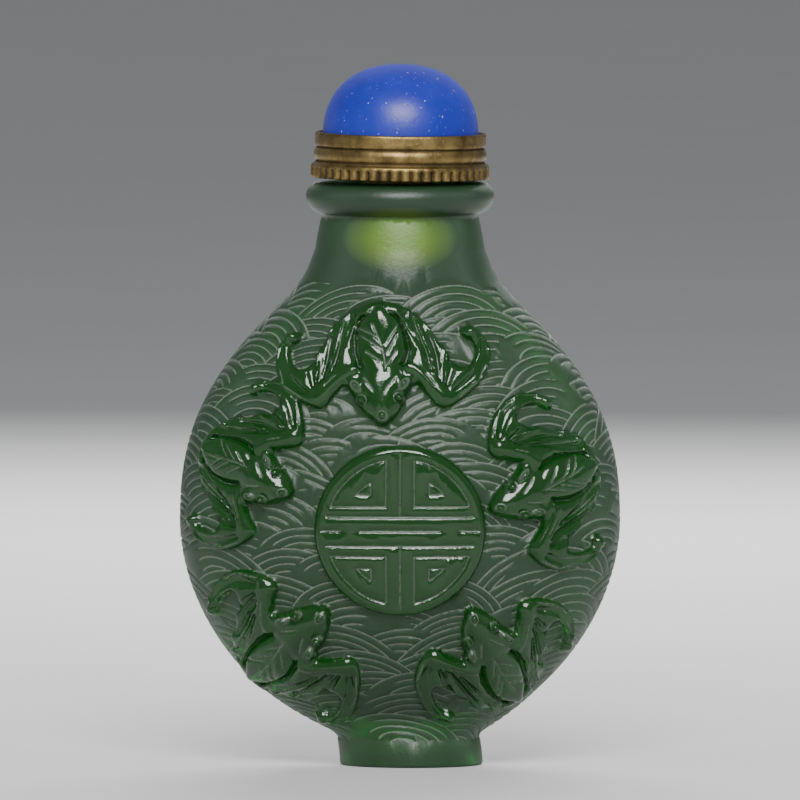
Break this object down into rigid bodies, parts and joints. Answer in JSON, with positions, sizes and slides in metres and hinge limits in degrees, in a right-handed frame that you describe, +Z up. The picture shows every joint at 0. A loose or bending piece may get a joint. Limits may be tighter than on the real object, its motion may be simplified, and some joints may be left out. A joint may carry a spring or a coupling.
{
  "type": "snuff bottle",
  "caption": "Flattened round carved glass snuff bottle with raised bats round a fret roundel, and a blue domed stopper in a brass collar.",
  "frame": {"origin": "on the surface it stands on, under the middle of the bottle", "axes": "+Z up through the mouth, -Y out of the front face, +X to the right as the front is looked at"},
  "size_m": [0.0468, 0.0278, 0.0745],
  "materials": {
    "green_glass": "deep green translucent glass, satin ground on the ground of the carving and the neck, polished on the relief, lip and foot",
    "aged_brass": "aged brass, worn bright on the edges, dark in the grooves",
    "blue_stone": "opaque medium blue, waxy polish with small pale specks and fine scratches",
    "cork": "plain cork, hidden in the neck"
  },
  "bodies": {
    "root": {"bottle": "green_glass", "stopper_collar": "aged_brass", "stopper_cabochon": "blue_stone", "stopper_cork": "cork"}
  },
  "joints": []
}
